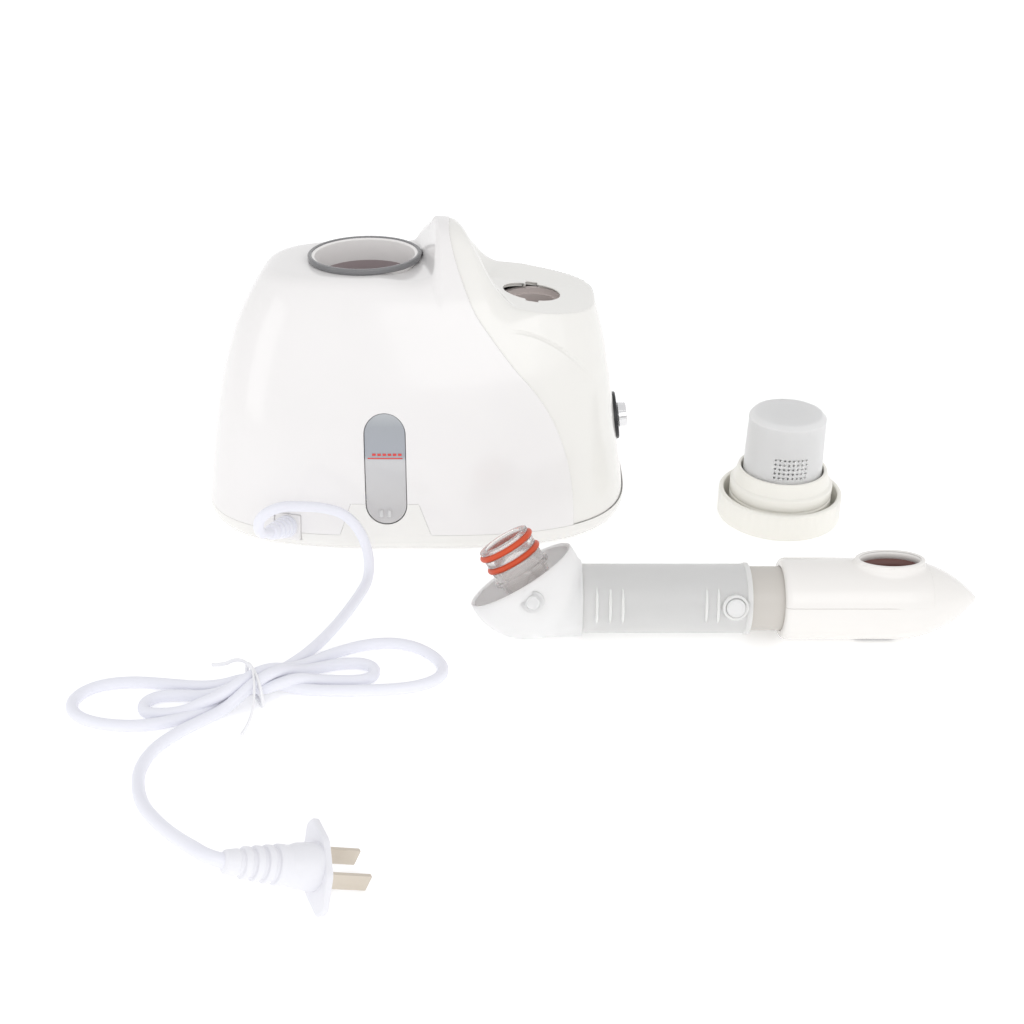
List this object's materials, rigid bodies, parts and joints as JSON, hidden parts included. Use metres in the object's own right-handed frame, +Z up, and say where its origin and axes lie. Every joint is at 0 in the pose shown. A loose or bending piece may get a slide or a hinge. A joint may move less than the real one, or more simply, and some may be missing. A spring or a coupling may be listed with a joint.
{
  "type": "facial steamer",
  "caption": "Table-top facial steamer: rounded two-shell body with water window and filler, loose tilting and sliding steam arm, loose lid with aroma basket, tied mains lead and plug.",
  "frame": {"origin": "centre of the body's flat underside, on the table", "axes": "+X to the right, towards the control knob; +Y to the back, away from the viewer; +Z up"},
  "size_m": [0.3884, 0.3928, 0.1485],
  "materials": {
    "shell_left": "glossy moulded",
    "shell_right": "glossy moulded",
    "base_plastic": "glossy moulded",
    "window_clear": "clear, slightly grey",
    "tank_clear": "clear, smoke grey",
    "seal_grey": "matte",
    "boiler_metal": "satin",
    "boiler_plastic": "matte",
    "heater_metal": "cast",
    "silicone": "matte translucent",
    "socket_dark": "matte",
    "thermostat_metal": "satin",
    "board_green": "lacquered",
    "relay_plastic": "matte",
    "terminal_plastic": "matte",
    "cord_white": "satin, cool white",
    "wire_brown": "satin",
    "wire_blue": "satin",
    "plate_black": "satin",
    "shaft_metal": "satin",
    "knob_metal": "bright",
    "foot_rubber": "matte",
    "screw_steel": "satin",
    "frosted_clear": "frosted",
    "slider_clear": "frosted, warm",
    "neck_clear": "clear glossy",
    "seal_orange": "satin",
    "nozzle_white": "glossy moulded",
    "grille_brown": "matte",
    "lid_ivory": "glossy moulded",
    "basket_clear": "frosted",
    "tie_white": "satin",
    "plug_white": "satin",
    "pin_nickel": "nickel plated"
  },
  "bodies": {
    "housing": {"left_shell": "shell_left", "right_shell": "shell_right", "base_tray": "base_plastic", "level_window": "window_clear", "water_tank": "tank_clear", "tank_seal": "seal_grey", "boiler_cup": "boiler_metal", "boiler_cap": "boiler_plastic", "heater_plate": "heater_metal", "heater_ring": "heater_metal", "feed_tube": "silicone", "steam_duct": "silicone", "duct_seal": "seal_grey", "steam_socket": "socket_dark", "thermostat": "thermostat_metal", "thermal_fuse": "thermostat_metal", "power_board": "board_green", "relay": "relay_plastic", "capacitor": "relay_plastic", "terminal_block": "terminal_plastic", "inner_lead": "cord_white", "cord_clamp": "terminal_plastic", "live_wire": "wire_brown", "neutral_wire": "wire_blue", "switch_wire": "wire_brown", "knob_plate": "plate_black", "rotary_switch": "relay_plastic", "rubber_feet": "foot_rubber", "base_screws": "screw_steel", "cord_gland": "shell_left", "strain_relief": "cord_white", "cord_lead": "cord_white", "cord_hank": "cord_white", "cord_tail": "cord_white", "twist_tie": "tie_white", "plug_body": "plug_white", "plug_pins": "pin_nickel"},
    "knob": {"switch_shaft": "shaft_metal", "control_knob": "knob_metal"},
    "arm": {"elbow_housing": "frosted_clear", "pivot_pin": "frosted_clear", "arm_tube": "frosted_clear"},
    "detent": {"detent_button": "frosted_clear"},
    "neck": {"neck_tube": "neck_clear", "lower_seal": "seal_orange", "upper_seal": "seal_orange"},
    "slider": {"slide_tube": "slider_clear"},
    "nozzle": {"nozzle_upper": "nozzle_white", "nozzle_lower": "nozzle_white", "outlet_grille": "grille_brown"},
    "lid": {"lid_cap": "lid_ivory", "basket_holder": "lid_ivory"},
    "basket": {"aroma_basket": "basket_clear"}
  },
  "joints": [
    {"name": "knob_turn", "type": "hinge", "parent": "housing", "child": "knob", "pos_m": [0.1044, -0.006, 0.0446], "axis": [0.9925, 0, 0.1219], "range_deg": [0, 270]},
    {"name": "arm_lift", "type": "slide", "parent": "housing", "child": "arm", "axis": [0, 0, 1], "range_m": [0, 0.2]},
    {"name": "neck_tilt", "type": "hinge", "parent": "arm", "child": "neck", "pos_m": [0.0598, -0.14205, 0.02273], "axis": [0, 0.9563, -0.2924], "range_deg": [-30, 30]},
    {"name": "button_press", "type": "slide", "parent": "arm", "child": "detent", "axis": [0, 0.9563, -0.2924], "range_m": [0, 0.0009], "stiffness_N_per_m": 400, "springref_m": -0.0004},
    {"name": "tube_slide", "type": "slide", "parent": "arm", "child": "slider", "axis": [1, 0, 0], "range_m": [0, 0.055]},
    {"name": "nozzle_turn", "type": "hinge", "parent": "slider", "child": "nozzle", "pos_m": [0.2, -0.1435, 0.018], "axis": [1, 0, 0], "continuous": true},
    {"name": "lid_lift", "type": "slide", "parent": "housing", "child": "lid", "axis": [0, 0, 1], "range_m": [0, 0.15]},
    {"name": "basket_pull", "type": "slide", "parent": "lid", "child": "basket", "axis": [0, 0, 1], "range_m": [0, 0.06]}
  ]
}
